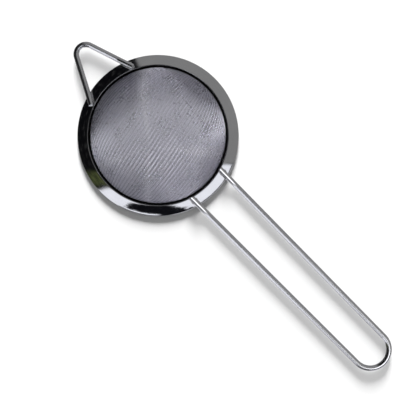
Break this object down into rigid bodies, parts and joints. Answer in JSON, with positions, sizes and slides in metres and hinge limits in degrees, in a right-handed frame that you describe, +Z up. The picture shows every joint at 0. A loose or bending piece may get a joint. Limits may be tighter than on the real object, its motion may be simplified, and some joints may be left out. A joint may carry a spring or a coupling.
{
  "type": "tea strainer",
  "caption": "Round woven-mesh tea strainer with a polished sheet rim, a long looped wire handle and a V-shaped wire rest, lying on its rim with the dome up.",
  "frame": {"origin": "centre of the rim's resting face, on the surface that the strainer lies on", "axes": "+X along the handle towards its end loop, +Z up towards the top of the mesh dome, +Y to the left of the handle seen from above"},
  "size_m": [0.2213, 0.0804, 0.0268],
  "materials": {
    "rim_steel": "polished",
    "band_steel": "satin",
    "mesh_steel": "satin",
    "wire_steel": "polished",
    "weld_steel": "satin"
  },
  "bodies": {
    "root": {"rim_flange": "rim_steel", "retaining_band": "band_steel", "mesh_bowl": "mesh_steel", "handle_wire": "wire_steel", "hook_wire": "wire_steel", "handle_weld_left": "weld_steel", "handle_weld_right": "weld_steel", "hook_weld_left": "weld_steel", "hook_weld_right": "weld_steel"}
  },
  "joints": []
}
